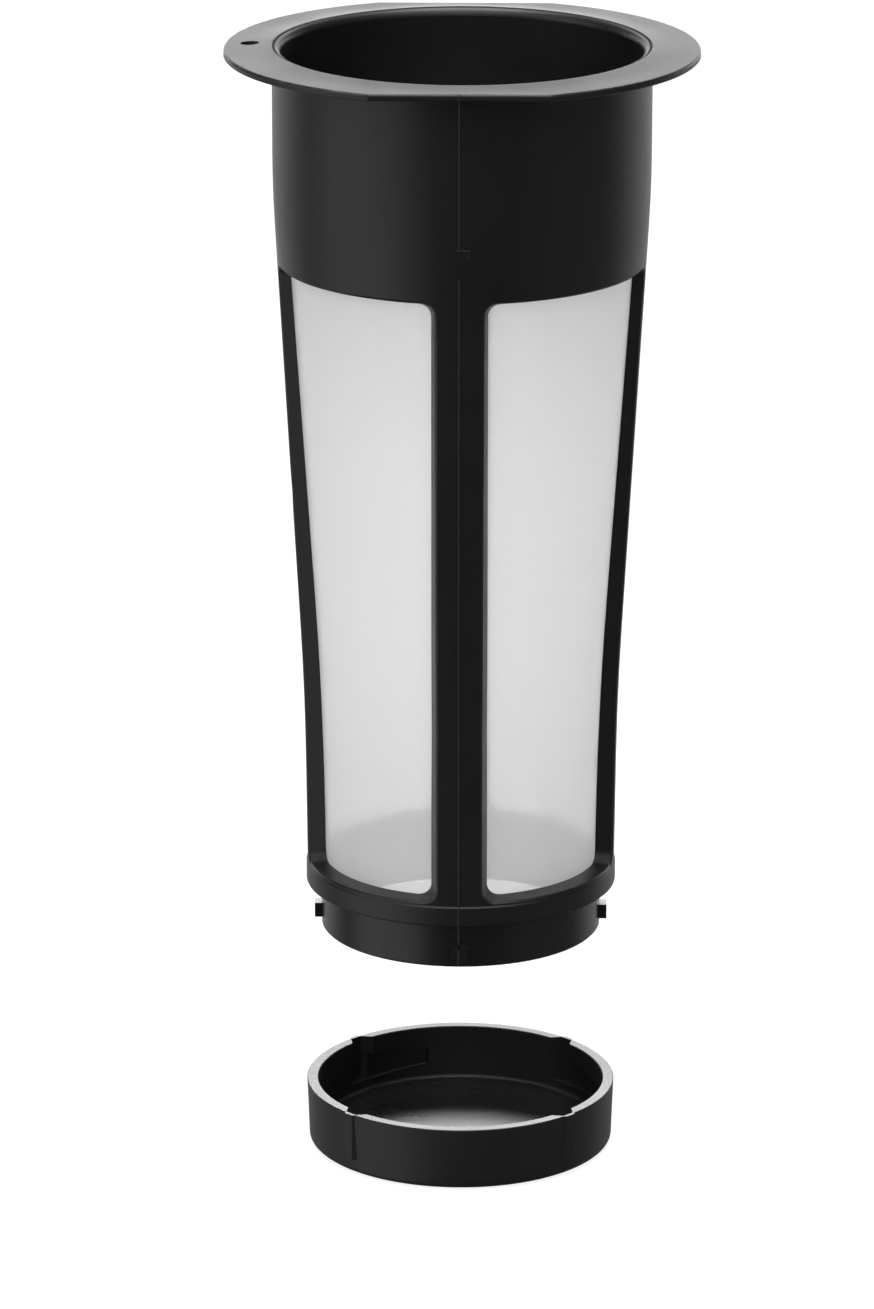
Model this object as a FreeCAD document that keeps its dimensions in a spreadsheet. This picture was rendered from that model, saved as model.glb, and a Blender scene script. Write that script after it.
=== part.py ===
import FreeCAD, Part

import math
import os

import Sketcher

# Strainer basket of a cold brew coffee maker, with its bayonet bottom cap lowered off it.
#
# Frame of reference: millimetres, +Z up. The origin is on the axis, in the plane of the flange's
# underside, which is the face that rests on the neck of the jug. The basket hangs from there
# towards -Z. The flange's two flats face -Y (front) and +Y (back).
#
# Every size lives in the sheet "Sizes". The Size class below carries a number together with the
# expression that gives it, so that one formula both draws a sketch and binds it to the sheet.

doc = FreeCAD.newDocument("ColdBrewBasket")
sheet = doc.addObject("Spreadsheet::Sheet", "Sizes")


class Size:
    """A number and the expression it comes from; arithmetic keeps the two together."""

    def __init__(self, value, text):
        self.value = float(value)
        self.text = text

    def _with(self, other, sign, value):
        return Size(value, "(%s %s %s)" % (self.text, sign, other.text))

    def __add__(self, other):
        other = size_of(other)
        return self._with(other, "+", self.value + other.value)

    def __sub__(self, other):
        other = size_of(other)
        return self._with(other, "-", self.value - other.value)

    def __mul__(self, other):
        other = size_of(other)
        return self._with(other, "*", self.value * other.value)

    def __truediv__(self, other):
        other = size_of(other)
        return self._with(other, "/", self.value / other.value)

    def __rsub__(self, other):
        return size_of(other) - self

    def __rtruediv__(self, other):
        return size_of(other) / self

    def __neg__(self):
        return Size(-self.value, "(-1 * %s)" % self.text)

    __radd__ = __add__
    __rmul__ = __mul__


def size_of(number):
    if isinstance(number, Size):
        return number
    return Size(number, "%.6f" % number)


def trig(name, angle):
    """sin, cos or tan of an angle in degrees."""
    return Size(getattr(math, name)(math.radians(angle.value)), "%s(%s * 1 deg)" % (name, angle.text))


row = 0


def cell(alias, value, note):
    """Put one driving size in the sheet and return it."""
    global row
    row += 1
    sheet.set("A%d" % row, alias)
    sheet.set("B%d" % row, "%g" % value)
    sheet.set("C%d" % row, note)
    sheet.setAlias("B%d" % row, alias)
    return Size(value, "Sizes.%s" % alias)


# Collar and flange: what enters the neck of the jug, and the plate that rests on it
collar_radius = cell("collar_radius", 35.4, "outer radius of the collar that enters the neck")
collar_depth = cell("collar_depth", 25.0, "length of the straight collar")
flange_reach = cell("flange_reach", 8.95, "flange beyond the collar")
flange_thickness = cell("flange_thickness", 1.3, "plate thickness at the rim")
crown_slope = cell("crown_slope", 9.0, "slope of the upper face at the mouth, degrees")
crown_blend = cell("crown_blend", 2.6, "reach of the hollow between rim and slope")
crown_margin = cell("crown_margin", 0.15, "level band inside the straight cuts")
flat_depth = cell("flat_depth", 3.2, "what each straight cut takes off the round flange")
flange_round = cell("flange_round", 0.45, "rounding of the upper rim of the flange")
flange_under_bevel = cell("flange_under_bevel", 0.2, "bevel of the lower rim")
vent_diameter = cell("vent_diameter", 3.5, "small hole that lets air out of the jug")
vent_place = cell("vent_place", 0.475, "place of the hole, from 0 at the collar to 1 at the rim")
vent_turn = cell("vent_turn", 4.05, "turn of the hole from the left towards the back, degrees")

# Spigot at the lower end, and the lower ring above it
spigot_radius = cell("spigot_radius", 26.75, "outer radius of the spigot")
spigot_length = cell("spigot_length", 9.05, "spigot below the ring")
spigot_wall = cell("spigot_wall", 1.45, "wall thickness at the lower end")
spigot_lead = cell("spigot_lead", 0.4, "lead-in bevel of the spigot's end")
ring_depth = cell("ring_depth", 161.3, "underside of the lower ring")
ring_step = cell("ring_step", 2.95, "shoulder of the ring over the spigot")
ring_round = cell("ring_round", 0.45, "rounding of the lower edge of the ring")
ring_band = cell("ring_band", 0.22, "how far the ring stands out from the foot of the wall")
ring_height = cell("ring_height", 4.0, "height of the ring")
ring_ramp = cell("ring_ramp", 0.3, "height of the slope from wall to ring")

# Outer wall between them: long taper, then an almost straight foot
shoulder_blend = cell("shoulder_blend", 7.0, "reach of the blend from collar to taper")
foot_length = cell("foot_length", 37.6, "foot from the waist to the underside of the ring")
foot_draft = cell("foot_draft", 0.4, "how much wider the waist is than the foot of the wall")
waist_blend = cell("waist_blend", 12.5, "reach of the blend from taper to foot")

# Bore: an almost straight mouth, a long taper to the waist and an almost straight foot
mouth_wall = cell("mouth_wall", 1.6, "wall thickness at the flange")
mouth_depth = cell("mouth_depth", 14.0, "length of the mouth")
mouth_round = cell("mouth_round", 1.6, "rounded lip between flange and bore")
collar_wall = cell("collar_wall", 1.62, "wall thickness of the collar below the mouth")
waist_wall = cell("waist_wall", 3.4, "wall thickness at the waist")
bore_draft = cell("bore_draft", 0.6, "narrowing of the bore from the waist to the ring")
bore_blend = cell("bore_blend", 20.0, "reach of the blend between the two tapers of the bore")

# Four lugs of the bayonet, near the end of the spigot
side_count = cell("side_count", 4, "ribs, windows, lugs and channels round the axis")
lug_hold = cell("lug_hold", 0.5, "how far a lug stands out past the bore of the cap")
lug_width = cell("lug_width", 3.3, "lug width round the spigot")
lug_height = cell("lug_height", 2.8, "lug height")
lug_above_end = cell("lug_above_end", 1.2, "spigot below the lugs")
lug_root = cell("lug_root", 0.8, "how deep a lug is rooted in the spigot wall")

# Windows between the ribs
rib_width = cell("rib_width", 10.35, "rib width at the bore")
window_draft = cell("window_draft", 16.0, "flare of the window walls at head and ribs, degrees")
sill_draft = cell("sill_draft", 9.0, "flare of the window wall at the sill, degrees")
head_drop = cell("head_drop", 7.2, "upper edge of a window below the collar's blend")
sill_height = cell("sill_height", 4.6, "lower edge of a window above the ring's underside")
window_corner = cell("window_corner", 2.6, "corner radius of a window")
window_bevel = cell("window_bevel", 0.3, "bevel of the outer window rims")

# Mesh panels, moulded into shallow seats in the bore
mesh_thickness = cell("mesh_thickness", 0.3, "mesh panel thickness")
mesh_overlap = cell("mesh_overlap", 1.3, "mesh behind the head and sill of a window")
mesh_land = cell("mesh_land", 7.0, "half of the bare rib between two panels, degrees")

# Bottom cap
cap_lowered = cell("cap_lowered", 40.9, "cap rim below the ring when the cap is off")
seated_gap = cell("seated_gap", 0.5, "gap between the ring and the rim of the locked cap")
cap_clearance = cell("cap_clearance", 0.85, "gap between the spigot and the bore of the cap")
cap_wall = cell("cap_wall", 2.15, "wall thickness at the rim")
cap_draft = cell("cap_draft", 0.45, "how much narrower the cap is at its foot")
cap_floor = cell("cap_floor", 1.45, "floor thickness")
floor_gap = cell("floor_gap", 2.15, "room between the spigot and the floor of the locked cap")
cap_foot_round = cell("cap_foot_round", 1.2, "rounding of the lower outer edge")
cap_floor_round = cell("cap_floor_round", 0.7, "fillet between wall and floor inside")
cap_rim_bevel = cell("cap_rim_bevel", 0.15, "bevel of the rim, inside and outside")

# Entry channels and ramped grooves of the bayonet
channel_azimuth = cell("channel_azimuth", 45.3, "middle of the first channel, degrees from +X")
channel_width = cell("channel_width", 5.3, "channel width at the bore of the cap")
channel_floor_width = cell("channel_floor_width", 2.6, "channel width at its bottom")
channel_wall = cell("channel_wall", 0.35, "wall left behind a channel, under the bead")
channel_run = cell("channel_run", 1.35, "end of a channel below the foot of a locked lug")
bead_height = cell("bead_height", 0.35, "bead that backs a channel on the outside")
bead_width = cell("bead_width", 1.8, "width of the bead's face")
bead_foot = cell("bead_foot", 3.0, "end of the bead above the foot of the cap")
groove_turn = cell("groove_turn", 31.2, "turn from channel to closed end, degrees")
groove_gap = cell("groove_gap", 0.4, "radial gap outside the lugs")
axial_gap = cell("axial_gap", 0.2, "gap above and below a locked lug")
roof_lead = cell("roof_lead", 0.9, "lead-in of the groove's upper face at the channel")

# Derived radii, each from the sizes that it must agree with
flange_radius = collar_radius + flange_reach
flange_flat = flange_radius - flat_depth
vent_radius = collar_radius + flange_reach * vent_place
mouth_radius = collar_radius - mouth_wall
core_radius = collar_radius - collar_wall
spigot_bore = spigot_radius - spigot_wall
ring_radius = spigot_radius + ring_step
foot_radius = ring_radius - ring_band
waist_radius = foot_radius + foot_draft
waist_bore = waist_radius - waist_wall
ring_bore = waist_bore - bore_draft
crown_radius = flange_flat - crown_margin - crown_blend
cap_bore = spigot_radius + cap_clearance
cap_radius = cap_bore + cap_wall
cap_foot_radius = cap_radius - cap_draft
lug_tip_radius = cap_bore + lug_hold

# Derived heights
crown_rise = trig("tan", crown_slope)
mouth_top = flange_thickness + crown_rise * (crown_radius - mouth_radius)
spigot_end = ring_depth + spigot_length
waist_depth = ring_depth - foot_length
window_head = collar_depth + shoulder_blend + head_drop
window_sill = ring_depth - sill_height
ring_top = ring_depth - ring_height
lug_foot = spigot_length - lug_above_end
locked_lug_foot = lug_foot - seated_gap
cap_inside = spigot_length - seated_gap + floor_gap
cap_height = cap_inside + cap_floor
cap_rim_level = ring_depth + cap_lowered
channel_depth = locked_lug_foot + channel_run

# Derived slopes
bore_slope = (core_radius - waist_bore) / (waist_depth - mouth_depth)
foot_bore_slope = (waist_bore - ring_bore) / (ring_depth - waist_depth)
taper_slope = (collar_radius - waist_radius) / (waist_depth - collar_depth)
foot_slope = (waist_radius - foot_radius) / (ring_top - waist_depth)
flare = trig("tan", window_draft)
sill_flare = trig("tan", sill_draft)


def bore_at(depth):
    """Radius of the bore at a depth between mouth and waist."""
    return core_radius - bore_slope * (depth - mouth_depth)


def foot_bore_at(depth):
    """Radius of the bore at a depth between waist and ring."""
    return waist_bore - foot_bore_slope * (depth - waist_depth)


def wall_at(depth):
    """Radius of the outer taper at a depth between collar and waist."""
    return collar_radius - taper_slope * (depth - collar_depth)


# ---------------------------------------------------------------- helpers


def new_body(name):
    body = doc.addObject("PartDesign::Body", name)
    body.Label = name
    body.AllowCompound = True
    return body


def origin_part(body, role):
    for feature in body.Origin.OriginFeatures:
        if feature.Role == role:
            return feature
    raise ValueError("no %s in %s" % (role, body.Label))


def new_sketch(body, name, role):
    sketch = body.newObject("Sketcher::SketchObject", name)
    sketch.AttachmentSupport = [(origin_part(body, role), "")]
    sketch.MapMode = "FlatFace"
    return sketch


def fix(sketch, axis, geometry, point, size):
    """Hold one coordinate of a sketch point at a size, or on the other axis where it is zero."""
    if size.value == 0.0 and size.text == "0.000000":
        other = -2 if axis == "X" else -1
        sketch.addConstraint(Sketcher.Constraint("PointOnObject", geometry, point, other))
        return
    index = sketch.addConstraint(
        Sketcher.Constraint("Distance" + axis, -1, 1, geometry, point, size.value)
    )
    sketch.setExpression("Constraints[%d]" % index, size.text)


def outline(sketch, corners):
    """Closed polygon whose corners are all bound to sizes."""
    return blended_outline(sketch, [(spot, None) for spot in corners])


def blended_outline(sketch, corners):
    """Closed outline of ((x, y), blend) corners, each sharp or eased by a tangent arc.

    A blend is a pair of points on the two legs, in the order in which the outline runs.
    """
    legs = []
    for spot, blend in corners:
        ends = blend if blend else (spot, spot)
        legs.append([(size_of(a), size_of(b)) for a, b in ends])
    vectors = [[FreeCAD.Vector(a.value, b.value, 0) for a, b in ends] for ends in legs]
    first = sketch.GeometryCount
    count = len(corners)
    for i in range(count):
        line = Part.LineSegment(vectors[i][1], vectors[(i + 1) % count][0])
        sketch.addGeometry(line, False)
    for i in range(count):
        before, line = first + (i - 1) % count, first + i
        if corners[i][1]:
            arc, entry = add_blend_arc(sketch, vectors[i - 1][1], *vectors[i])
            sketch.addConstraint(Sketcher.Constraint("Tangent", before, 2, arc, entry))
            sketch.addConstraint(Sketcher.Constraint("Coincident", arc, 3 - entry, line, 1))
            fix(sketch, "X", before, 2, legs[i][0][0])
            fix(sketch, "Y", before, 2, legs[i][0][1])
        else:
            sketch.addConstraint(Sketcher.Constraint("Coincident", before, 2, line, 1))
        fix(sketch, "X", line, 1, legs[i][1][0])
        fix(sketch, "Y", line, 1, legs[i][1][1])
    return sketch


def add_blend_arc(sketch, came_from, start, end):
    """Arc from start to end, tangent at start to the leg that it leaves."""
    along = (start - came_from).normalize()
    across = FreeCAD.Vector(-along.y, along.x, 0)
    chord = end - start
    signed = chord.dot(chord) / (2 * across.dot(chord))
    centre = start + across * signed
    angles = [math.atan2(p.y - centre.y, p.x - centre.x) for p in (start, end)]
    if signed < 0:
        angles.reverse()
    while angles[1] < angles[0]:
        angles[1] += 2 * math.pi
    circle = Part.Circle(centre, FreeCAD.Vector(0, 0, 1), abs(signed))
    index = sketch.addGeometry(Part.ArcOfCircle(circle, angles[0], angles[1]), False)
    return index, 1 if signed > 0 else 2


def bind(thing, prop, size):
    thing.setExpression(prop, size_of(size).text)


def turned(body, kind, name, sketch, angle=None):
    """Revolution or Groove of a sketch about the body's Z axis; a part turn lies midplane."""
    feature = body.newObject("PartDesign::" + kind, name)
    feature.Profile = sketch
    feature.ReferenceAxis = (origin_part(body, "Z_Axis"), [""])
    if angle is None:
        feature.Angle = 360.0
    else:
        feature.Midplane = True
        feature.Angle = angle.value
        bind(feature, "Angle", angle)
    body.Tip = feature
    doc.recompute()
    return feature


def pad(body, name, sketch, length):
    feature = body.newObject("PartDesign::Pad", name)
    feature.Profile = sketch
    feature.Length = length.value
    bind(feature, "Length", length)
    body.Tip = feature
    doc.recompute()
    return feature


def through(body, name, sketch):
    """Pocket that runs through everything on both sides of its sketch."""
    before = body.Shape.Volume
    feature = body.newObject("PartDesign::Pocket", name)
    feature.Profile = sketch
    feature.Type = "ThroughAll"
    feature.Midplane = True
    body.Tip = feature
    doc.recompute()
    assert body.Shape.Volume < before - 0.01, "%s cuts nothing" % name
    return feature


def around(body, name, feature):
    """Repeat a feature round the Z axis, once for each side."""
    pattern = body.newObject("PartDesign::PolarPattern", name)
    pattern.Originals = [feature]
    pattern.Axis = (origin_part(body, "Z_Axis"), [""])
    pattern.Angle = 360.0
    pattern.Occurrences = int(side_count.value)
    bind(pattern, "Occurrences", side_count)
    body.Tip = pattern
    doc.recompute()
    return pattern


def edges_where(shape, test):
    """Names of the edges whose sampled points all pass a test of (radius, height, x, y)."""
    names = []
    for number, edge in enumerate(shape.Edges, 1):
        first, last = edge.FirstParameter, edge.LastParameter
        spots = [edge.valueAt(first + (last - first) * k / 4.0) for k in range(5)]
        if all(test(math.hypot(p.x, p.y), p.z, p.x, p.y) for p in spots):
            names.append("Edge%d" % number)
    return names


def eased(body, kind, name, size, test, expected=None):
    """Fillet or Chamfer on every edge that passes the test."""
    base = body.Tip
    names = edges_where(base.Shape, test)
    assert names, "%s finds no edge" % name
    if expected is not None:
        assert len(names) == expected, "%s finds %d edges" % (name, len(names))
    feature = body.newObject("PartDesign::" + kind, name)
    feature.Base = (base, names)
    measure = "Radius" if kind == "Fillet" else "Size"
    setattr(feature, measure, size.value)
    bind(feature, measure, size)
    body.Tip = feature
    doc.recompute()
    return feature


def rounded(body, name, radius, test, expected=None):
    return eased(body, "Fillet", name, radius, test, expected)


def bevelled(body, name, leg, test):
    return eased(body, "Chamfer", name, leg, test)


def ring_edge(radius, height, slack=0.02):
    """Test for the circular edge of a given radius and height."""
    return lambda r, z, x, y: abs(r - radius.value) < slack and abs(z - height.value) < slack


def subtract(body, name, tool):
    before = body.Shape.Volume
    feature = body.newObject("PartDesign::Boolean", name)
    feature.Type = "Cut"
    feature.setObjects([tool])
    body.Tip = feature
    doc.recompute()
    assert body.Shape.Volume < before - 1.0, "%s cuts nothing" % name
    return feature


# ---------------------------------------------------------------- basket frame

frame = new_body("basket_frame")

# One turned profile holds flange, collar, tapered wall, lower ring and spigot. The flange's
# upper face sweeps up to a rounded lip at the mouth. The taper is eased into the collar above
# it and into the foot below it.
lip_leg = mouth_round / trig("tan", 45 - crown_slope / 2)
lip_in = lip_leg * trig("cos", crown_slope)
lip = (
    (mouth_radius + lip_in, mouth_top - crown_rise * lip_in),
    (mouth_radius, mouth_top - lip_leg),
)
crown_in = crown_blend * trig("cos", crown_slope)
crown = (
    (crown_radius + crown_blend, flange_thickness),
    (crown_radius - crown_in, flange_thickness + crown_rise * crown_in),
)
waist = (
    (waist_radius - foot_slope * waist_blend, -(waist_depth + waist_blend)),
    (waist_radius + taper_slope * waist_blend, -(waist_depth - waist_blend)),
)
shoulder = (
    (collar_radius - taper_slope * shoulder_blend, -(collar_depth + shoulder_blend)),
    (collar_radius, -(collar_depth - shoulder_blend)),
)


def bore_waist(outward):
    """Blend of the two tapers of the bore, from above downward, moved outward by a size."""
    above, below = waist_depth - bore_blend, waist_depth + bore_blend
    return ((bore_at(above) + outward, -above), (foot_bore_at(below) + outward, -below))


profile = new_sketch(frame, "WallProfile", "XZ_Plane")
blended_outline(
    profile,
    [
        ((flange_radius, 0), None),
        ((flange_radius, flange_thickness), None),
        ((crown_radius, flange_thickness), crown),
        ((mouth_radius, mouth_top), lip),
        ((core_radius, -mouth_depth), None),
        ((waist_bore, -waist_depth), bore_waist(0)),
        ((ring_bore, -ring_depth), None),
        ((spigot_bore, -spigot_end), None),
        ((spigot_radius, -spigot_end), None),
        ((spigot_radius, -ring_depth), None),
        ((ring_radius, -ring_depth), None),
        ((ring_radius, -(ring_top + ring_ramp)), None),
        ((foot_radius, -ring_top), None),
        ((waist_radius, -waist_depth), waist),
        ((collar_radius, -collar_depth), shoulder),
        ((collar_radius, 0), None),
    ],
)
turned(frame, "Revolution", "Wall", profile)

# How far a cutting shape runs past the faces that it opens
OVERRUN = 2.0


# The mesh panels lie in four shallow seats in the bore, one between each pair of ribs
def mesh_profile(body, name, inner, outer):
    """Strip along the bore, from inner to outer measured outward from its surface."""
    top = window_head + flare * (wall_at(window_head) - bore_at(window_head)) - mesh_overlap
    foot = window_sill - sill_flare * (foot_radius - ring_bore) + mesh_overlap
    strip = new_sketch(body, name, "XZ_Plane")
    return blended_outline(
        strip,
        [
            ((bore_at(top) + inner, -top), None),
            ((bore_at(top) + outer, -top), None),
            ((waist_bore + outer, -waist_depth), bore_waist(outer)),
            ((foot_bore_at(foot) + outer, -foot), None),
            ((foot_bore_at(foot) + inner, -foot), None),
            ((waist_bore + inner, -waist_depth), bore_waist(inner)[::-1]),
        ],
    )


panel_turn = 360 / side_count - 2 * mesh_land
half_side = 180 / side_count

seat = mesh_profile(frame, "MeshSeatProfile", size_of(-OVERRUN), mesh_thickness)
seat.AttachmentOffset = FreeCAD.Placement(
    FreeCAD.Vector(), FreeCAD.Rotation(FreeCAD.Vector(0, 1, 0), half_side.value)
)
bind(seat, "AttachmentOffset.Rotation.Angle", half_side)
volume_before = frame.Shape.Volume
around(frame, "MeshSeats", turned(frame, "Groove", "MeshSeat", seat, panel_turn))
assert frame.Shape.Volume < volume_before - 10.0, "the mesh seats cut nothing"

# Two straight cuts across the flange, front and back
flats = new_sketch(frame, "FlangeFlats", "XY_Plane")
for side in (-1, 1):
    outline(
        flats,
        [
            (-flange_radius - OVERRUN, side * flange_flat),
            (flange_radius + OVERRUN, side * flange_flat),
            (flange_radius + OVERRUN, side * (flange_radius + OVERRUN)),
            (-flange_radius - OVERRUN, side * (flange_radius + OVERRUN)),
        ],
    )
through(frame, "FlangeFlatCuts", flats)

vent = new_sketch(frame, "VentCircle", "XY_Plane")
vent_x = -vent_radius * trig("cos", vent_turn)
vent_y = vent_radius * trig("sin", vent_turn)
vent.addGeometry(
    Part.Circle(
        FreeCAD.Vector(vent_x.value, vent_y.value, 0),
        FreeCAD.Vector(0, 0, 1),
        vent_diameter.value / 2,
    ),
    False,
)
index = vent.addConstraint(Sketcher.Constraint("Radius", 0, vent_diameter.value / 2))
vent.setExpression("Constraints[%d]" % index, (vent_diameter / 2).text)
fix(vent, "X", 0, 3, vent_x)
fix(vent, "Y", 0, 3, vent_y)
through(frame, "VentHole", vent)

# Softened moulding edges
def rim_edge(height):
    """Test for the edges of the flange's rim and straight cuts at a height."""
    return lambda r, z, x, y: r > flange_flat.value - 0.01 and abs(z - height.value) < 0.01


rounded(frame, "FlangeTopEdge", flange_round, rim_edge(flange_thickness))
bevelled(frame, "FlangeUnderEdge", flange_under_bevel, rim_edge(size_of(0)))
rounded(frame, "RingEdge", ring_round, ring_edge(ring_radius, -ring_depth))
bevelled(frame, "SpigotLead", spigot_lead, ring_edge(spigot_radius, -spigot_end))

# Four lugs on the spigot: front, right, back and left
lug = new_sketch(frame, "LugPlan", "XY_Plane")
lug.AttachmentOffset = FreeCAD.Placement(
    FreeCAD.Vector(0, 0, -(ring_depth + lug_foot).value), FreeCAD.Rotation()
)
bind(lug, "AttachmentOffset.Base.z", -(ring_depth + lug_foot))
outline(
    lug,
    [
        (spigot_radius - lug_root, -lug_width / 2),
        (lug_tip_radius, -lug_width / 2),
        (lug_tip_radius, lug_width / 2),
        (spigot_radius - lug_root, lug_width / 2),
    ],
)
around(frame, "Lugs", pad(frame, "Lug", lug, lug_height))


# ---------------------------------------------------------------- windows

# The cores that shape the four windows: a turned band with sloping head and sill, from which
# four flared rib bars are taken away along the slope of the bore
cores = new_body("window_cores")
band_inside = spigot_bore - 2 * OVERRUN
band_outside = collar_radius + 2 * OVERRUN
band = new_sketch(cores, "WindowBand", "XZ_Plane")
outline(
    band,
    [
        (band_inside, -(window_head + flare * (wall_at(window_head) - band_inside))),
        (band_outside, -(window_head - flare * (band_outside - wall_at(window_head)))),
        (band_outside, -(window_sill + sill_flare * (band_outside - foot_radius))),
        (band_inside, -(window_sill - sill_flare * (foot_radius - band_inside))),
    ],
)
turned(cores, "Revolution", "WindowBandRing", band)

bar_start = window_head - flare * (band_outside - spigot_bore) - OVERRUN
bar_end = window_sill + flare * (band_outside - spigot_bore) + OVERRUN
bar_inward = bore_at(bar_start) - band_inside + OVERRUN
bar_outward = band_outside - foot_bore_at(bar_end) + OVERRUN


def rib_bar(name, start, end, start_radius, slope):
    """Flared bar cut down the +X side from start to end, sinking inward with the bore."""
    bar = new_sketch(cores, name, "XY_Plane")
    bar.AttachmentOffset = FreeCAD.Placement(
        FreeCAD.Vector(0, 0, -start.value), FreeCAD.Rotation()
    )
    bind(bar, "AttachmentOffset.Base.z", -start)
    outline(
        bar,
        [
            (start_radius - bar_inward, -(rib_width / 2 + flare * bar_inward)),
            (start_radius + bar_outward, -(rib_width / 2 - flare * bar_outward)),
            (start_radius + bar_outward, rib_width / 2 - flare * bar_outward),
            (start_radius - bar_inward, rib_width / 2 + flare * bar_inward),
        ],
    )
    rib = cores.newObject("PartDesign::Pocket", name + "Cut")
    rib.Profile = bar
    rib.Type = "Length"
    rib.UseCustomVector = True
    rib.Direction = FreeCAD.Vector(-slope.value, 0, -1)
    bind(rib, "Direction.x", -slope)
    rib.AlongSketchNormal = False
    length = (end - start) * Size(math.hypot(1, slope.value), "sqrt(1 + %s ^ 2)" % slope.text)
    rib.Length = length.value
    bind(rib, "Length", length)
    volume_before = cores.Shape.Volume
    cores.Tip = rib
    doc.recompute()
    assert cores.Shape.Volume < volume_before - 10.0, "%s cuts nothing" % name
    return rib


upper_bar = rib_bar("RibBar", bar_start, waist_depth, bore_at(bar_start), bore_slope)
lower_bar = rib_bar("FootBar", waist_depth, bar_end, waist_bore, foot_bore_slope)
bars = around(cores, "RibBars", upper_bar)
bars.Originals = [upper_bar, lower_bar]
doc.recompute()

# The corner edges of each core run outward between a rib face and the head or the sill
def core_corner(r, z, x, y):
    near_rib = min(abs(x), abs(y)) < (rib_width / 2 + flare * bar_inward).value
    head_z = -(window_head.value + flare.value * (wall_at(window_head).value - r))
    sill_z = -(window_sill.value - sill_flare.value * (foot_radius.value - r))
    return near_rib and (abs(z - head_z) < 0.02 or abs(z - sill_z) < 0.02)


rounded(cores, "WindowCorners", window_corner, core_corner, 4 * int(side_count.value))

subtract(frame, "Windows", cores)


# The outer rims of the windows stand on the outer wall, beside the ribs and never across them
def window_rim(r, z, x, y):
    beside_rib = min(abs(x), abs(y)) > rib_width.value / 4
    in_windows = window_head.value - 0.1 < -z < window_sill.value + 0.1
    return in_windows and beside_rib and r > max(bore_at(-z).value, ring_bore.value) + 1.5


bevelled(frame, "WindowRims", window_bevel, window_rim)

# ---------------------------------------------------------------- mesh panels

# Each panel fills its seat in the bore and stretches across one window
panel_names = ["mesh_back_right", "mesh_back_left", "mesh_front_left", "mesh_front_right"]
panels = []
for number, name in enumerate(panel_names):
    panel = new_body(name)
    strip = mesh_profile(panel, "MeshProfile%d" % number, size_of(0), mesh_thickness)
    turned(panel, "Revolution", "MeshSheet%d" % number, strip, panel_turn)
    azimuth = half_side * (2 * number + 1)
    panel.Placement = FreeCAD.Placement(
        FreeCAD.Vector(), FreeCAD.Rotation(FreeCAD.Vector(0, 0, 1), azimuth.value)
    )
    bind(panel, "Placement.Rotation.Angle", azimuth)
    panels.append(panel)

# ---------------------------------------------------------------- bottom cap

# Drawn with its rim at height zero, then placed below the basket
cap = new_body("bottom_cap")
cup = new_sketch(cap, "CupProfile", "XZ_Plane")
outline(
    cup,
    [
        (0, -cap_height),
        (cap_foot_radius, -cap_height),
        (cap_radius, 0),
        (cap_bore, 0),
        (cap_bore, -cap_inside),
        (0, -cap_inside),
    ],
)
turned(cap, "Revolution", "Cup", cup)
rounded(cap, "CupFoot", cap_foot_round, ring_edge(cap_foot_radius, -cap_height))
rounded(cap, "CupFloorFillet", cap_floor_round, ring_edge(cap_bore, -cap_inside))
bevelled(cap, "CupRimOuter", cap_rim_bevel, ring_edge(cap_radius, size_of(0)))
bevelled(cap, "CupRimInner", cap_rim_bevel, ring_edge(cap_bore, size_of(0)))


def radial_sketch(body, name, azimuth):
    """Sketch in plan whose X axis points outward at an azimuth."""
    sketch = new_sketch(body, name, "XY_Plane")
    sketch.AttachmentOffset = FreeCAD.Placement(
        FreeCAD.Vector(), FreeCAD.Rotation(FreeCAD.Vector(0, 0, 1), azimuth.value)
    )
    bind(sketch, "AttachmentOffset.Rotation.Angle", azimuth)
    return sketch


# A bead on the outside backs each channel, from the rim almost to the foot
bead = radial_sketch(cap, "BeadPlan", channel_azimuth)
bead_face = cap_radius + bead_height
bead_root = cap_foot_radius - cap_wall / 4
outline(
    bead,
    [
        (bead_root, -(bead_width / 2 + bead_face - bead_root)),
        (bead_face, -bead_width / 2),
        (bead_face, bead_width / 2),
        (bead_root, bead_width / 2 + bead_face - bead_root),
    ],
)
bead_pad = cap.newObject("PartDesign::Pad", "Bead")
bead_pad.Profile = bead
bead_pad.Reversed = True
bead_pad.Length = (cap_height - bead_foot).value
bind(bead_pad, "Length", cap_height - bead_foot)
cap.Tip = bead_pad
doc.recompute()
around(cap, "Beads", bead_pad)

# Entry channels: open at the rim, narrowing outward
channel_bottom = cap_radius - channel_wall
channel = radial_sketch(cap, "ChannelPlan", channel_azimuth)
channel_mouth = cap_bore - OVERRUN
widening = (channel_width - channel_floor_width) / 2 / (channel_bottom - cap_bore) * OVERRUN
outline(
    channel,
    [
        (channel_mouth, -(channel_width / 2 + widening)),
        (channel_bottom, -channel_floor_width / 2),
        (channel_bottom, channel_floor_width / 2),
        (channel_mouth, channel_width / 2 + widening),
    ],
)
volume_before = cap.Shape.Volume
channel_cut = cap.newObject("PartDesign::Pocket", "Channel")
channel_cut.Profile = channel
channel_cut.Length = channel_depth.value
bind(channel_cut, "Length", channel_depth)
cap.Tip = channel_cut
doc.recompute()
assert cap.Shape.Volume < volume_before - 5.0, "the channel cuts nothing"
around(cap, "Channels", channel_cut)

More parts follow.
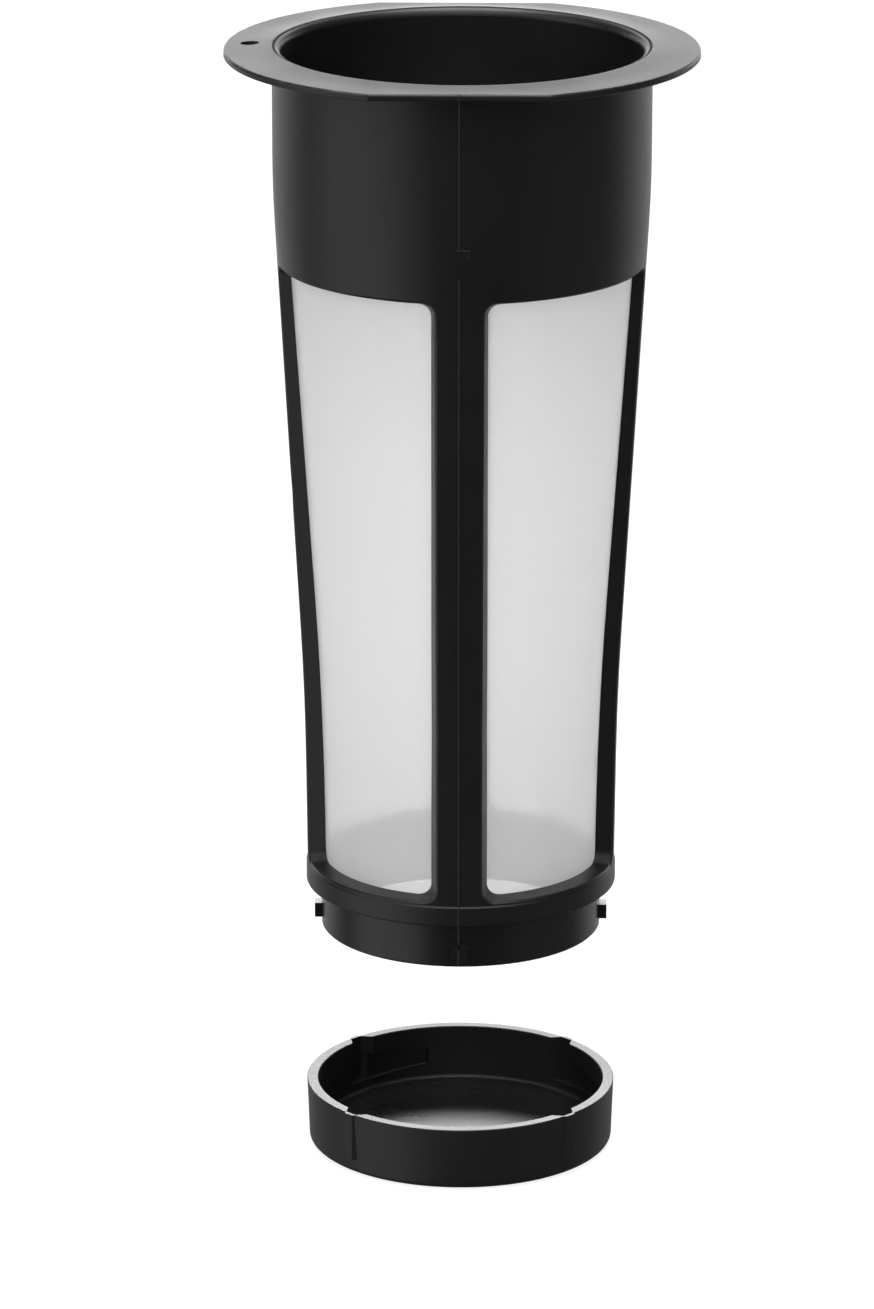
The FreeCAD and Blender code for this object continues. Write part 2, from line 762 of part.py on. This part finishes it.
# Ramped grooves: a turned band whose roof and floor close in on the lug towards the blind end,
# where the lug is held between them with the axial gap
groove = new_body("groove_cores")
groove_radius = lug_tip_radius + groove_gap
groove_start = cap_bore - OVERRUN
groove_band = new_sketch(groove, "GrooveBand", "XZ_Plane")
outline(
    groove_band,
    [
        (groove_start, -(channel_depth + OVERRUN)),
        (groove_radius, -(channel_depth + OVERRUN)),
        (groove_radius, 0),
        (groove_start, 0),
    ],
)
ring_core = turned(groove, "Revolution", "GrooveRing", groove_band, groove_turn)
reach = groove_radius * trig("sin", groove_turn / 2)
roof_closed = locked_lug_foot - lug_height - axial_gap
roof_entry = roof_closed - roof_lead
floor_closed = locked_lug_foot + axial_gap
ramps = new_sketch(groove, "GrooveRamps", "YZ_Plane")
outline(
    ramps,
    [(-reach, -roof_closed), (reach, -roof_entry), (reach, OVERRUN), (-reach, OVERRUN)],
)
outline(
    ramps,
    [
        (-reach, -floor_closed),
        (-reach, -(channel_depth + 2 * OVERRUN)),
        (reach, -(channel_depth + 2 * OVERRUN)),
        (reach, -channel_depth),
    ],
)
volume_before = groove.Shape.Volume
wedge = groove.newObject("PartDesign::Pocket", "GrooveWedge")
wedge.Profile = ramps
wedge.Type = "ThroughAll"
wedge.Reversed = True
groove.Tip = wedge
doc.recompute()
assert groove.Shape.Volume < volume_before - 5.0, "the groove ramps cut nothing"
pattern = around(groove, "Grooves", ring_core)
pattern.Originals = [ring_core, wedge]
doc.recompute()

# The closed ends lie clockwise of the channels, seen from above
groove_azimuth = channel_azimuth - groove_turn / 2
groove.Placement = FreeCAD.Placement(
    FreeCAD.Vector(), FreeCAD.Rotation(FreeCAD.Vector(0, 0, 1), groove_azimuth.value)
)
bind(groove, "Placement.Rotation.Angle", groove_azimuth)
subtract(cap, "GrooveCuts", groove)

cap.Placement = FreeCAD.Placement(FreeCAD.Vector(0, 0, -cap_rim_level.value), FreeCAD.Rotation())
bind(cap, "Placement.Base.z", -cap_rim_level)

# ---------------------------------------------------------------- check and export

doc.recompute()
nodes = [frame] + panels + [cap]
for item in doc.Objects:
    assert not {"Invalid", "Error"} & set(item.State), "%s is %s" % (item.Name, item.State)
for node in nodes:
    assert not node.Shape.isNull() and node.Shape.isValid(), "%s has no valid shape" % node.Label
    assert len(node.Shape.Solids) == 1, "%s has %d solids" % (node.Label, len(node.Shape.Solids))

os.makedirs("parts", exist_ok=True)
for node in nodes:
    node.Shape.exportStep("parts/%s.step" % node.Label)
    box = node.Shape.optimalBoundingBox(True, False)
    print(
        "%-18s %9.1f mm3  x %7.2f %7.2f  y %7.2f %7.2f  z %8.2f %8.2f"
        % (node.Label, node.Shape.Volume, box.XMin, box.XMax, box.YMin, box.YMax, box.ZMin, box.ZMax)
    )
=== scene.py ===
import math

import bmesh
import bpy
from mathutils import Matrix, Vector


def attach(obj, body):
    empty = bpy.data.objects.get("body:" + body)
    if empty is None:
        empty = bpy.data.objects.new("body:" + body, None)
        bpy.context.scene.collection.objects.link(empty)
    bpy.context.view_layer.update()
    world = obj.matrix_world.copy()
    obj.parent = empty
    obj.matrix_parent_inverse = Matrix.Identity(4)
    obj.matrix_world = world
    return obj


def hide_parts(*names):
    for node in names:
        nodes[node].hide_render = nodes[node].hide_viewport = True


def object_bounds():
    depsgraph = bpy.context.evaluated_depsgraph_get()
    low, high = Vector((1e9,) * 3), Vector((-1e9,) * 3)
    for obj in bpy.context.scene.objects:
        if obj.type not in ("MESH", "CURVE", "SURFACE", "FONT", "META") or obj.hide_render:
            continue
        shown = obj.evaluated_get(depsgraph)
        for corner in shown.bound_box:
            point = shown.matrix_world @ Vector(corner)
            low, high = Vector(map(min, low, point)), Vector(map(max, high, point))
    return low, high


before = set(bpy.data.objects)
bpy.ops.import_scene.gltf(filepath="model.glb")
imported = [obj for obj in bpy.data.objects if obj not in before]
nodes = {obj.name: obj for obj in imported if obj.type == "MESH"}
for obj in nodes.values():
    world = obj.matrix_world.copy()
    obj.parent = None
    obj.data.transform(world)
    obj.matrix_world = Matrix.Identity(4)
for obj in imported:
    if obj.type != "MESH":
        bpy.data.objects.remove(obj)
cad_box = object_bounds()
scene = bpy.context.scene
scene.view_settings.view_transform = "Standard"

# ---------------------------------------------------------------- camera
# A long lens a little above the rim looks down at the basket from the front,
# so that both the bore and the inside of the cap are in sight.
azimuth = math.radians(0.7)
pitch = math.radians(17.12)
swing = math.radians(0.2145)
roll = math.radians(0.04)
camera_distance = 1.230
camera_height = 0.26225
focal_pixels = 6750
view_pixels = 1309

lens = bpy.data.cameras.new("camera")
lens.sensor_width = 36
lens.lens = lens.sensor_width * focal_pixels / view_pixels
camera = bpy.data.objects.new("camera", lens)
camera_x = camera_distance * math.sin(azimuth)
camera_y = -camera_distance * math.cos(azimuth)
camera.matrix_world = (
    Matrix.Translation((camera_x, camera_y, camera_height))
    @ Matrix.Rotation(azimuth + swing, 4, "Z")
    @ Matrix.Rotation(math.pi / 2 - pitch, 4, "X")
    @ Matrix.Rotation(roll, 4, "Z")
)
scene.collection.objects.link(camera)
scene.camera = camera


# ---------------------------------------------------------------- room
# The basket hangs in front of a white wall and over a white floor, in a room
# that is dark in front at table height and lit from above.
def add(tree, kind, inputs=(), **settings):
    """New node with its settings and its inputs, each a value or a socket to link."""
    node = tree.nodes.new(kind)
    for key, value in settings.items():
        setattr(node, key, value)
    for key, value in dict(inputs).items():
        if isinstance(value, bpy.types.NodeSocket):
            tree.links.new(value, node.inputs[key])
        else:
            node.inputs[key].default_value = value
    return node


def sums(tree, operation, *values, clamp=False):
    """Result of a new Math node."""
    settings = {"operation": operation, "use_clamp": clamp}
    return add(tree, "ShaderNodeMath", enumerate(values), **settings).outputs[0]


def ramped(tree, value, low, high, start=0.0, end=1.0):
    """Smooth step from start to end while a value goes from low to high."""
    inputs = {"Value": value, "From Min": low, "From Max": high, "To Min": start, "To Max": end}
    step = add(tree, "ShaderNodeMapRange", inputs, interpolation_type="SMOOTHSTEP")
    return step.outputs["Result"]


def towards(tree, direction, centre, wide, narrow, radiance):
    """Round patch of light that is full within one angle and gone past another, in degrees."""
    vectors = {0: direction, 1: Vector(centre).normalized()}
    near = add(tree, "ShaderNodeVectorMath", vectors, operation="DOT_PRODUCT")
    edge, full = (math.cos(math.radians(angle)) for angle in (wide, narrow))
    return ramped(tree, near.outputs["Value"], low=edge, high=full, end=radiance)


world = bpy.data.worlds.new("room")
scene.world = world
world.use_nodes = True
world.cycles.sampling_method = "NONE"
tree = world.node_tree
direction = add(tree, "ShaderNodeTexCoord").outputs["Generated"]
skyward = add(tree, "ShaderNodeSeparateXYZ", {0: direction}).outputs["Z"]

# The wall behind is darker above eye level and towards the floor
wall_top = ramped(tree, skyward, low=-0.02, high=0.20, start=0.62, end=0.1)
wall_foot = ramped(tree, skyward, low=-0.42, high=-0.22, start=0.4, end=1.0)
wall_fade = sums(tree, "MULTIPLY", wall_top, wall_foot)
wall = towards(tree, direction, (0, 1, -0.1), wide=82, narrow=45, radiance=1.0)
wall = sums(tree, "MULTIPLY", wall, wall_fade)
left = towards(tree, direction, (-0.86, -0.42, -0.29), wide=45, narrow=7, radiance=0.82)
ceiling = towards(tree, direction, (0, -1, 1.1), wide=48, narrow=15, radiance=1.6)
right = towards(tree, direction, (0.95, -0.3, -0.25), wide=45, narrow=10, radiance=0.12)
room_light = 0.04
for patch in (wall, left, ceiling, right):
    room_light = sums(tree, "ADD", room_light, patch)
grey = {"Red": room_light, "Green": room_light, "Blue": room_light}
room_tone = add(tree, "ShaderNodeCombineColor", grey).outputs["Color"]
white = (1, 1, 1, 1)
seen = add(tree, "ShaderNodeLightPath").outputs["Is Camera Ray"]
tones = {"Factor": seen, "A": room_tone, "B": white}
tone = add(tree, "ShaderNodeMix", tones, data_type="RGBA")
tree.links.new(tone.outputs["Result"], tree.nodes["Background"].inputs["Color"])

# From above the floor is painted white and glows a little for the camera.
# From below it is clear, so that the underside of the basket can be looked at.
floor_glow = 0.7
floor_paint = bpy.data.materials.new("floor_paint")
floor_paint.use_nodes = True
tree = floor_paint.node_tree
paint = tree.nodes["Principled BSDF"]
paint.inputs["Base Color"].default_value = (0.85, 0.85, 0.85, 1)
paint.inputs["Roughness"].default_value = 0.9
paint.inputs["Specular IOR Level"].default_value = 0.0
glow = add(tree, "ShaderNodeEmission", {"Color": white, "Strength": 1.2})
seen = add(tree, "ShaderNodeLightPath").outputs["Is Camera Ray"]
share = sums(tree, "MULTIPLY", seen, floor_glow)
both = add(tree, "ShaderNodeMixShader", {0: share, 1: paint.outputs[0], 2: glow.outputs[0]})
clear = add(tree, "ShaderNodeBsdfTransparent")
from_below = add(tree, "ShaderNodeNewGeometry").outputs["Backfacing"]
sides = {0: from_below, 1: both.outputs[0], 2: clear.outputs[0]}
one_way = add(tree, "ShaderNodeMixShader", sides)
tree.links.new(one_way.outputs[0], tree.nodes["Material Output"].inputs["Surface"])


def placed(name, bm, material):
    """New object of one material from a finished bmesh, which is freed."""
    mesh = bpy.data.meshes.new(name)
    bm.to_mesh(mesh)
    bm.free()
    mesh.materials.append(material)
    made = bpy.data.objects.new(name, mesh)
    scene.collection.objects.link(made)
    return made


floor_radius = 6
floor_gap = 0.0002
floor_level = cad_box[0].z - floor_gap
bm = bmesh.new()
bmesh.ops.create_circle(bm, cap_ends=True, segments=64, radius=floor_radius)
bmesh.ops.translate(bm, vec=(0, 0, floor_level), verts=bm.verts)
floor = placed("floor", bm, floor_paint)
floor.visible_glossy = False


def softbox(name, place, target, width, height, radiance):
    """Area lamp whose face shines at a given radiance towards a target."""
    data = bpy.data.lights.new(name, "AREA")
    data.shape = "RECTANGLE"
    data.size, data.size_y = width, height
    data.energy = radiance * math.pi * width * height
    lamp = bpy.data.objects.new(name, data)
    lamp.location = place
    lamp.rotation_euler = (Vector(target) - Vector(place)).to_track_quat("-Z", "Y").to_euler()
    lamp.visible_camera = False
    scene.collection.objects.link(lamp)


softbox("window", (-1.3, -0.4, 0.55), (0, 0, -0.1), width=0.8, height=0.8, radiance=1.2)
softbox("overhead", (0, 0.1, 1.2), (0, 0, 0), width=0.9, height=0.9, radiance=7.0)
softbox("backlight", (0, 3.9, 1.58), (0, 0, -0.1), width=3.4, height=0.78, radiance=4.8)
softbox("low_backlight", (0, 0.42, 0.0), (0, 0, 0), width=0.9, height=0.11, radiance=3.8)

# ---------------------------------------------------------------- basket frame
# The body of the basket is one moulding of black polypropylene. It has a satin skin with a
# fine grain, and the two halves of the mould leave a thin raised line down its front and back.
black = (0.0066, 0.0066, 0.0068)
ring_foot = -0.1613
flange_foot = 0.0005
grain_height = 0.00004

# What is added to the roughness of each place
spigot_polish = -0.10
flange_dullness = 0.06
crease_dullness = 0.6

# The parting line, with the gap on the collar where the slides of the mould close
line_width = 0.00022
line_height = 0.00007
slide_gap = (-0.0346, -0.0291)
least_outward = 0.2

# A dull crease runs round the mouth, where the rounded lip meets the flange
crease_radius = 0.03505
crease_core = 0.00012
crease_edge = 0.00034


def socket(group, name, kind, direction, value=None):
    """Named input or output of a node group."""
    made = group.interface.new_socket(name, in_out=direction, socket_type="NodeSocket" + kind)
    if value is not None:
        made.default_value = value


grain = bpy.data.node_groups.new("moulded_grain", "ShaderNodeTree")
socket(grain, "Place", "Vector", "INPUT")
socket(grain, "Grain Size", "Float", "INPUT", 0.0004)
socket(grain, "Unevenness", "Float", "INPUT", 0.1)
socket(grain, "Height", "Float", "OUTPUT")
socket(grain, "Dullness", "Float", "OUTPUT")
group_in = add(grain, "NodeGroupInput")
grain_place = group_in.outputs["Place"]
fineness = sums(grain, "DIVIDE", 1.0, group_in.outputs["Grain Size"])
fine_inputs = {"Vector": grain_place, "Scale": fineness, "Detail": 2.0}
fine = add(grain, "ShaderNodeTexNoise", fine_inputs)

# The skin is uneven in streaks drawn up and down, and in broad clouds
streak_scale = (900, 900, 40)
streak_share = 0.35
cloud_scale = 70.0
noise_mean = 0.5
drawn = add(grain, "ShaderNodeMapping", {"Vector": grain_place, "Scale": streak_scale})
streak_inputs = {"Vector": drawn.outputs[0], "Scale": 1.0, "Detail": 2.0}
streaks = add(grain, "ShaderNodeTexNoise", streak_inputs)
cloud_inputs = {"Vector": grain_place, "Scale": cloud_scale, "Detail": 3.0}
cloudy = add(grain, "ShaderNodeTexNoise", cloud_inputs)
mixed = sums(grain, "MULTIPLY_ADD", streaks.outputs[0], streak_share, cloudy.outputs[0])
centred = sums(grain, "SUBTRACT", mixed, noise_mean * (1 + streak_share))
uneven = sums(grain, "MULTIPLY", centred, group_in.outputs["Unevenness"])
add(grain, "NodeGroupOutput", {"Height": fine.outputs[0], "Dullness": uneven})


def moulded(name, colour, roughness, grain_size, unevenness):
    """Moulded plastic; returns its material and shader, and the place, grain height and
    roughness that a piece builds on."""
    material = bpy.data.materials.new(name)
    material.use_nodes = True
    tree = material.node_tree
    shader = tree.nodes["Principled BSDF"]
    shader.inputs["IOR"].default_value = 1.49
    place = add(tree, "ShaderNodeTexCoord").outputs["Object"]
    grain_inputs = {"Place": place, "Grain Size": grain_size, "Unevenness": unevenness}
    skin = add(tree, "ShaderNodeGroup", grain_inputs, node_tree=grain)
    dullness = skin.outputs["Dullness"]

    # The tone wavers about the middle of two, as the dullness does about nought
    spread = 0.2
    middle = 0.5
    darker = [(1 - spread) * part for part in colour] + [1]
    lighter = [(1 + spread) * part for part in colour] + [1]
    shades = {"Factor": sums(tree, "ADD", dullness, middle), "A": darker, "B": lighter}
    tint = add(tree, "ShaderNodeMix", shades, data_type="RGBA")
    tree.links.new(tint.outputs["Result"], shader.inputs["Base Color"])
    dull = sums(tree, "ADD", dullness, roughness)
    return material, shader, place, skin.outputs["Height"], dull


def round_axis(tree, place):
    """Parts of a place, the place with no height, and its distance from the axis."""
    parts = add(tree, "ShaderNodeSeparateXYZ", {0: place}).outputs
    flat = add(tree, "ShaderNodeCombineXYZ", {"X": parts["X"], "Y": parts["Y"]}).outputs[0]
    reach = add(tree, "ShaderNodeVectorMath", {0: flat}, operation="LENGTH").outputs["Value"]
    return parts, flat, reach


def between(tree, value, low, high):
    """1 where a value lies between two others, and 0 elsewhere."""
    above = sums(tree, "GREATER_THAN", value, low)
    below = sums(tree, "LESS_THAN", value, high)
    return sums(tree, "MULTIPLY", above, below)


frame_plastic, shader, place, grain_bumps, dull = moulded(
    "frame_plastic", black, roughness=0.36, grain_size=0.0004, unevenness=0.12
)
tree = frame_plastic.node_tree
parts, _, reach = round_axis(tree, place)

# The line keeps to the faces that look outwards
normal = add(tree, "ShaderNodeNewGeometry").outputs["Normal"]
facing = add(tree, "ShaderNodeSeparateXYZ", {0: normal})
outward = sums(tree, "MULTIPLY", facing.outputs["Y"], sums(tree, "SIGN", parts["Y"]))
off_line = sums(tree, "ABSOLUTE", parts["X"])
line = ramped(tree, off_line, low=0.0, high=line_width, start=1.0, end=0.0)
line = sums(tree, "MULTIPLY", line, sums(tree, "GREATER_THAN", outward, least_outward))
gap = between(tree, parts["Z"], *slide_gap)
line = sums(tree, "MULTIPLY", line, sums(tree, "SUBTRACT", 1.0, gap))
bump = {"Height": grain_bumps, "Distance": grain_height, "Strength": 0.35}
grained = add(tree, "ShaderNodeBump", bump).outputs[0]
bump = {"Height": line, "Distance": line_height, "Strength": 1.0, "Normal": grained}
seamed = add(tree, "ShaderNodeBump", bump).outputs[0]
tree.links.new(seamed, shader.inputs["Normal"])

# The spigot is smoother, as it has to slide into the cap, and the flange is duller
polished = sums(tree, "LESS_THAN", parts["Z"], ring_foot)
dull = sums(tree, "MULTIPLY_ADD", polished, spigot_polish, dull)
on_flange = sums(tree, "GREATER_THAN", parts["Z"], flange_foot)
dull = sums(tree, "MULTIPLY_ADD", on_flange, flange_dullness, dull)
off_crease = sums(tree, "ABSOLUTE", sums(tree, "SUBTRACT", reach, crease_radius))
crease = ramped(tree, off_crease, low=crease_core, high=crease_edge, start=1.0, end=0.0)
crease = sums(tree, "MULTIPLY", crease, on_flange)
dull = sums(tree, "MULTIPLY_ADD", crease, crease_dullness, dull)
tree.links.new(dull, shader.inputs["Roughness"])
nodes["basket_frame"].data.materials.clear()
nodes["basket_frame"].data.materials.append(frame_plastic)

# ---------------------------------------------------------------- slide mark
# A small raised hook on the front of the collar, at the upper end of the gap in the parting
# line. It is moulded in one with the wall, in the same black polypropylene, and stands out
# by a sixth of a millimetre.
mark_level = -0.0291
mark_height = 0.00016
mark_rounding = 0.00014
sunk = 0.00008

# The collar's radius at that level, and how much wider it gets with height
wall_radius = 0.03512
wall_slope = 0.0476

# Corners of the hook: how far to the right, and how far above the mark's level
hook = [
    (-0.00050, 0.00021),
    (0.00210, 0.00021),
    (0.00210, -0.00155),
    (0.00160, -0.00155),
    (0.00160, -0.00021),
    (-0.00050, -0.00021),
]
bm = bmesh.new()
foot = []
for x, rise in hook:
    depth = math.sqrt((wall_radius + wall_slope * rise) ** 2 - x**2) - sunk
    foot.append(bm.verts.new((x, -depth, mark_level + rise)))
raised = bmesh.ops.extrude_face_region(bm, geom=[bm.faces.new(foot)])
top = [part for part in raised["geom"] if isinstance(part, bmesh.types.BMVert)]
bmesh.ops.translate(bm, vec=(0, -(sunk + mark_height), 0), verts=top)
bmesh.ops.recalc_face_normals(bm, faces=bm.faces)
top_edges = [edge for edge in bm.edges if all(vert in top for vert in edge.verts)]
bmesh.ops.bevel(
    bm, geom=top_edges, offset=mark_rounding, segments=3, profile=0.5, affect="EDGES", material=-1
)
slide_mark = placed("slide_mark", bm, frame_plastic)
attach(slide_mark, "basket")

# ---------------------------------------------------------------- mesh panels
# Four pieces of fine woven nylon, each moulded into the wall behind its window and
# stretched along the bore, which tapers to the waist and runs nearly straight below it.
screen_gauge = 0.00008
seat_depth = 0.00015
half_turn = math.radians(38)

# Radius and level of the bore at the top of the screens, at the waist and at their foot
bore_line = [(0.032142, -0.03862), (0.026480, -0.12370), (0.025942, -0.15743)]
bore_bend = 0.020
longest_in_bend = 0.005

# The weave is laid out at the mean radius of the bore
weave_radius = 0.029
pitch_of_weave = 0.00014
thread_cover = 0.68
cover_lost_in_holes = 0.7
thread_height = 0.00005
light_let_through = 0.7
stain_scale = (90, 7, 1)

nylon = bpy.data.materials.new("filter_mesh")
nylon.use_nodes = True
tree = nylon.node_tree
shader = tree.nodes["Principled BSDF"]
shader.inputs["Roughness"].default_value = 0.5
shader.inputs["Sheen Weight"].default_value = 0.2
flat_place = add(tree, "ShaderNodeUVMap", uv_map="weave").outputs[0]
threads = add(tree, "ShaderNodeSeparateXYZ", {0: flat_place})
waves = []
for axis in ("X", "Y"):
    phase = sums(tree, "MULTIPLY", threads.outputs[axis], math.pi / pitch_of_weave)
    waves.append(sums(tree, "ABSOLUTE", sums(tree, "SINE", phase)))
solid_part = sums(tree, "MAXIMUM", *waves)
hole = sums(tree, "MULTIPLY", *[sums(tree, "SUBTRACT", 1.0, wave) for wave in waves])
cover = sums(tree, "MULTIPLY_ADD", hole, -cover_lost_in_holes, thread_cover, clamp=True)

# The nylon is stained in clouds that run lengthwise
drawn = add(tree, "ShaderNodeMapping", {"Vector": flat_place, "Scale": stain_scale})
stain_inputs = {"Vector": drawn.outputs[0], "Scale": 1.0, "Detail": 2.0}
stain = add(tree, "ShaderNodeTexNoise", stain_inputs).outputs[0]
whites = {"Factor": stain, "A": (0.87, 0.88, 0.88, 1), "B": (0.92, 0.92, 0.915, 1)}
tint = add(tree, "ShaderNodeMix", whites, data_type="RGBA")
tree.links.new(tint.outputs["Result"], shader.inputs["Base Color"])
bump = {"Height": solid_part, "Distance": thread_height, "Strength": 0.4}
rounded = add(tree, "ShaderNodeBump", bump)
tree.links.new(rounded.outputs[0], shader.inputs["Normal"])
glow = add(tree, "ShaderNodeBsdfTranslucent", {"Color": tint.outputs["Result"]})
thread_mix = {0: light_let_through, 1: shader.outputs[0], 2: glow.outputs[0]}
lit = add(tree, "ShaderNodeMixShader", thread_mix)
open_air = add(tree, "ShaderNodeBsdfTransparent")
woven_mix = {0: cover, 1: open_air.outputs[0], 2: lit.outputs[0]}
woven = add(tree, "ShaderNodeMixShader", woven_mix)
tree.links.new(woven.outputs[0], tree.nodes["Material Output"].inputs["Surface"])

# The middle of each window, in degrees from the right-hand side
windows = {"back_right": 45, "back_left": 135, "front_left": 225, "front_right": 315}
for name, turn in windows.items():
    bm = bmesh.new()
    points = [bm.verts.new((radius + seat_depth, 0, level)) for radius, level in bore_line]
    for start, end in zip(points, points[1:]):
        bm.edges.new((start, end))
    bmesh.ops.bevel(
        bm,
        geom=[points[1]],
        offset=bore_bend,
        segments=16,
        profile=0.5,
        affect="VERTICES",
        material=-1,
    )
    # The straight runs are cut like the bend, so that the wall spins into even faces
    straight = [edge for edge in bm.edges if edge.calc_length() > longest_in_bend]
    bmesh.ops.subdivide_edges(bm, edges=straight, cuts=15)
    bmesh.ops.rotate(bm, verts=bm.verts, matrix=Matrix.Rotation(-half_turn, 3, "Z"))
    outline = bm.verts[:] + bm.edges[:]
    bmesh.ops.spin(bm, geom=outline, axis=(0, 0, 1), angle=2 * half_turn, steps=38)
    bmesh.ops.remove_doubles(bm, verts=bm.verts, dist=1e-6)
    bmesh.ops.recalc_face_normals(bm, faces=bm.faces)
    if bm.faces[0].normal.x < 0:
        bmesh.ops.reverse_faces(bm, faces=bm.faces)
    weave = bm.loops.layers.uv.new("weave")
    for face in bm.faces:
        face.smooth = True
        for loop in face.loops:
            x, y, z = loop.vert.co
            loop[weave].uv = (weave_radius * math.atan2(y, x), z)
    bmesh.ops.rotate(bm, verts=bm.verts, matrix=Matrix.Rotation(math.radians(turn), 3, "Z"))
    screen = placed("screen_" + name, bm, nylon)
    gauge = screen.modifiers.new("gauge", "SOLIDIFY")
    gauge.thickness = screen_gauge
    gauge.offset = 0
    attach(screen, "basket")
    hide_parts("mesh_" + name)

# ---------------------------------------------------------------- bottom cap
# A shallow cup moulded in black polypropylene. Its floor came off a polished core, so it is
# smoother than the walls, and it is lightly scuffed by the lugs and by washing.
cap_rim = -0.2022
cap_bore = 0.0276
cap_floor = -0.2129
rim_face = cap_rim - 0.00008
floor_reach = 0.0007
fillet_inner = cap_bore - 0.0008
fillet_outer = cap_bore - 0.0002
scuff_height = 0.00002

# What is added to the roughness of each place
rim_polish = -0.18
floor_polish = -0.18
scuff_dullness = 0.10

cap_plastic, shader, place, grain_bumps, dull = moulded(
    "cap_plastic", black, roughness=0.46, grain_size=0.0004, unevenness=0.12
)
tree = cap_plastic.node_tree
parts, flat, reach = round_axis(tree, place)
inside = ramped(tree, reach, low=fillet_inner, high=fillet_outer, start=1.0, end=0.0)
at_floor = between(tree, parts["Z"], cap_floor - floor_reach, cap_floor + floor_reach)
on_floor = sums(tree, "MULTIPLY", inside, at_floor)
on_rim = sums(tree, "GREATER_THAN", parts["Z"], rim_face)

# Each set of smears: its turn, its scale along and across, and the tones it fades between
smear_sets = [
    (0.4, 26, 110, 0.42, 0.75),
    (-0.5, 40, 420, 0.50, 0.72),
    (1.3, 60, 900, 0.60, 0.70),
]
smears = 0.0
for turn, along, crosswise, low_tone, high_tone in smear_sets:
    lay = {"Vector": flat, "Rotation": (0, 0, turn), "Scale": (along, crosswise, 1)}
    turned = add(tree, "ShaderNodeMapping", lay).outputs[0]
    mark_inputs = {"Vector": turned, "Scale": 1.0, "Detail": 3.0, "Distortion": 1.2}
    marks = add(tree, "ShaderNodeTexNoise", mark_inputs).outputs[0]
    smears = sums(tree, "MAXIMUM", smears, ramped(tree, marks, low_tone, high_tone))
worn = sums(tree, "MULTIPLY", smears, on_floor)
dull = sums(tree, "MULTIPLY_ADD", on_rim, rim_polish, dull)
dull = sums(tree, "MULTIPLY_ADD", on_floor, floor_polish, dull)
dull = sums(tree, "MULTIPLY_ADD", worn, scuff_dullness, dull)
tree.links.new(dull, shader.inputs["Roughness"])
bump = {"Height": grain_bumps, "Distance": grain_height, "Strength": 0.3}
grained = add(tree, "ShaderNodeBump", bump).outputs[0]
bump = {"Height": worn, "Distance": scuff_height, "Strength": 0.5, "Normal": grained}
scuffed = add(tree, "ShaderNodeBump", bump).outputs[0]
tree.links.new(scuffed, shader.inputs["Normal"])
nodes["bottom_cap"].data.materials.clear()
nodes["bottom_cap"].data.materials.append(cap_plastic)

# ---------------------------------------------------------------- groove edges
# The inner edge of each groove's lower face is rounded over. It is moulded in one with the
# cap, in the same plastic, and climbs from the entry channel to the closed end.
grooves = 4
edge_radius = 0.00017
channel_edge = math.radians(39.8)
sweep = math.radians(25.7)
steps = 24

# How far the edge lies below the rim at the channel and at the closed end
channel_ledge = 0.0087
closed_ledge = 0.00755
climb = (channel_ledge - closed_ledge) / steps
for number in range(grooves):
    bm = bmesh.new()
    bmesh.ops.create_circle(bm, cap_ends=True, segments=10, radius=edge_radius)
    bmesh.ops.rotate(bm, verts=bm.verts, matrix=Matrix.Rotation(math.pi / 2, 3, "X"))
    bmesh.ops.translate(bm, verts=bm.verts, vec=(cap_bore, 0, cap_rim - channel_ledge))
    bmesh.ops.spin(
        bm, geom=bm.faces[:], axis=(0, 0, 1), dvec=(0, 0, climb), angle=-sweep, steps=steps
    )
    start = Matrix.Rotation(channel_edge + number * 2 * math.pi / grooves, 3, "Z")
    bmesh.ops.rotate(bm, verts=bm.verts, matrix=start)
    bmesh.ops.recalc_face_normals(bm, faces=bm.faces)
    for face in bm.faces:
        face.smooth = len(face.verts) == 4
    edge = placed(f"groove_edge_{number + 1}", bm, cap_plastic)
    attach(edge, "cap")
